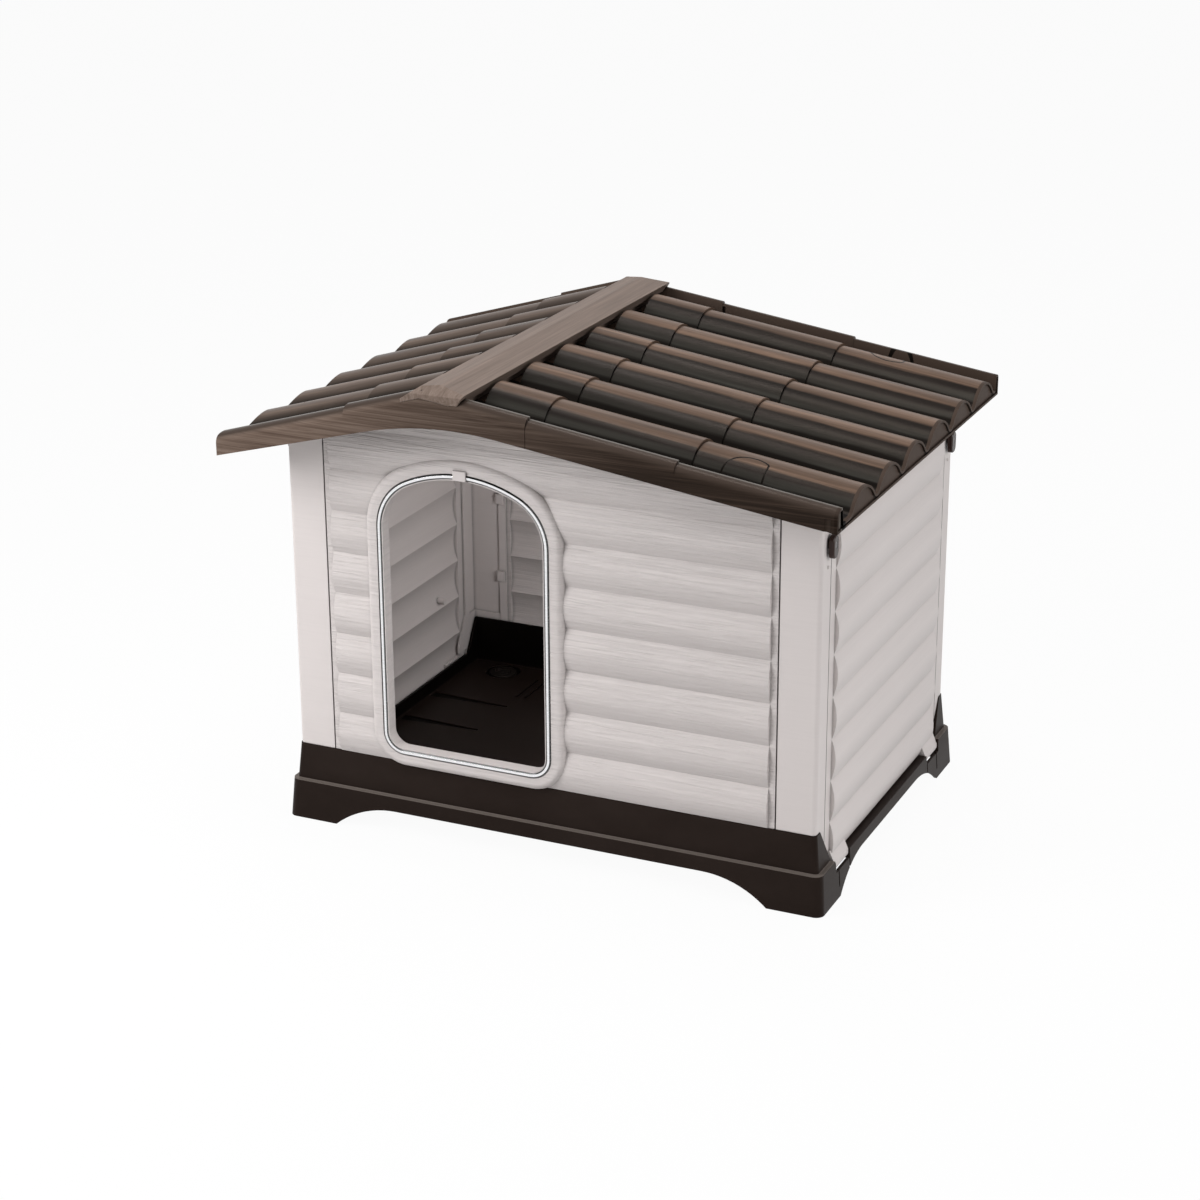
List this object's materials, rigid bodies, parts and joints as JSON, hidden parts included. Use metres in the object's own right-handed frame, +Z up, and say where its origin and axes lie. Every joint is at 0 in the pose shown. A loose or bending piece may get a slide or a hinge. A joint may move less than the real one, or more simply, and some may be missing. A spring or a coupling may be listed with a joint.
{
  "type": "dog house",
  "caption": "Plastic dog house with a tray base, bowed siding walls, an arched open door, a tiled two-slope roof with a ridge beam, and a side wall that folds down.",
  "frame": {"origin": "middle of the whole outline at ground level, under the roof", "axes": "+Z up, -Y towards the door side, +X towards the side wall that folds down"},
  "size_m": [0.86, 0.662, 0.665],
  "materials": {
    "wall": "fine wood grain, satin",
    "base": "satin",
    "plug": "satin",
    "strip": "satin",
    "clip": "satin",
    "roof": "satin with lengthwise streaks",
    "ridge": "wood grain",
    "latch": "satin",
    "screw": "plain"
  },
  "bodies": {
    "shell": {"front_panel": "wall", "rear_panel": "wall", "left_side_panel": "wall", "corner_post_front_left": "wall", "corner_post_rear_left": "wall", "corner_post_front_right": "wall", "corner_post_rear_right": "wall", "base_tray": "base", "door_edge_strip": "strip", "strip_clip": "clip", "roof_left": "roof", "roof_right": "roof", "roof_cover_front": "roof", "roof_cover_rear": "roof", "latch_screws": "screw", "roof_screws": "screw", "ridge_cap": "ridge"},
    "side_leaf": {"right_side_panel": "wall"},
    "front_latch": {"latch_front": "latch"},
    "rear_latch": {"latch_rear": "latch"},
    "plug": {"drain_plug": "plug"}
  },
  "joints": [
    {"name": "side_wall_hinge", "type": "hinge", "parent": "shell", "child": "side_leaf", "pos_m": [0.3885, 0.015, 0.0435], "axis": [0, 1, 0], "range_deg": [0, 94]},
    {"name": "front_latch_turn", "type": "hinge", "parent": "shell", "child": "front_latch", "pos_m": [0.389, -0.2255, 0.495], "axis": [1, 0, 0], "range_deg": [0, 90]},
    {"name": "rear_latch_turn", "type": "hinge", "parent": "shell", "child": "rear_latch", "pos_m": [0.389, 0.2555, 0.495], "axis": [1, 0, 0], "range_deg": [-90, 0]},
    {"name": "drain_plug_lift", "type": "slide", "parent": "shell", "child": "plug", "axis": [0, 0, 1], "range_m": [0, 0.03]}
  ]
}
